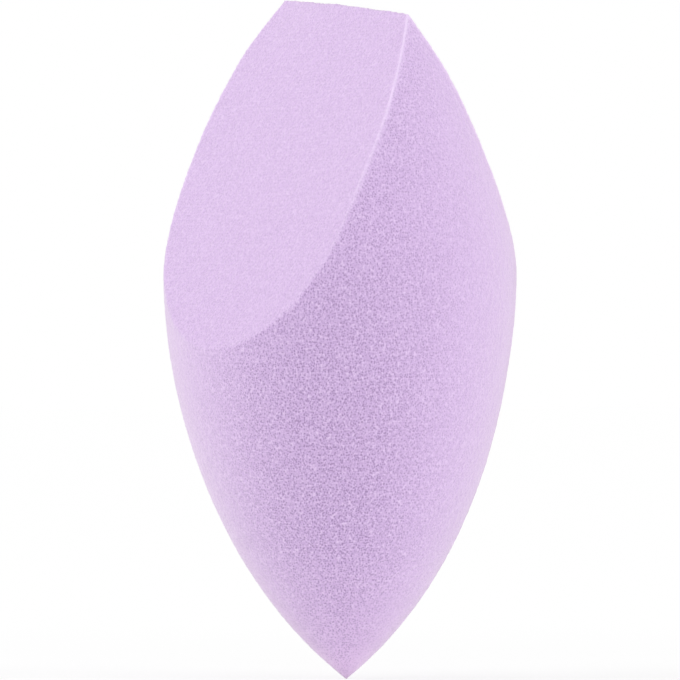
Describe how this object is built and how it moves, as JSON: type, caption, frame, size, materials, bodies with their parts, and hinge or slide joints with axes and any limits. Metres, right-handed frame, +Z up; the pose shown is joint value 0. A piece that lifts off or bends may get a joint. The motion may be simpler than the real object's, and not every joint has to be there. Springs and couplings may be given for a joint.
{
  "type": "makeup sponge",
  "caption": "Pointed foam makeup sponge for blending, an egg that runs down to a point, cut flat at front and back to a straight ridge.",
  "frame": {"origin": "the sponge's point, at the foot of its axis, under the middle of its box", "axes": "+Z up the body's axis from the point to the ridge; the front cut faces -Y; the ridge runs along X"},
  "size_m": [0.0352, 0.0345, 0.0682],
  "materials": {
    "lilac_foam": "matt fine-celled foam, pale lilac"
  },
  "bodies": {
    "root": {"foam_body": "lilac_foam"}
  },
  "joints": []
}
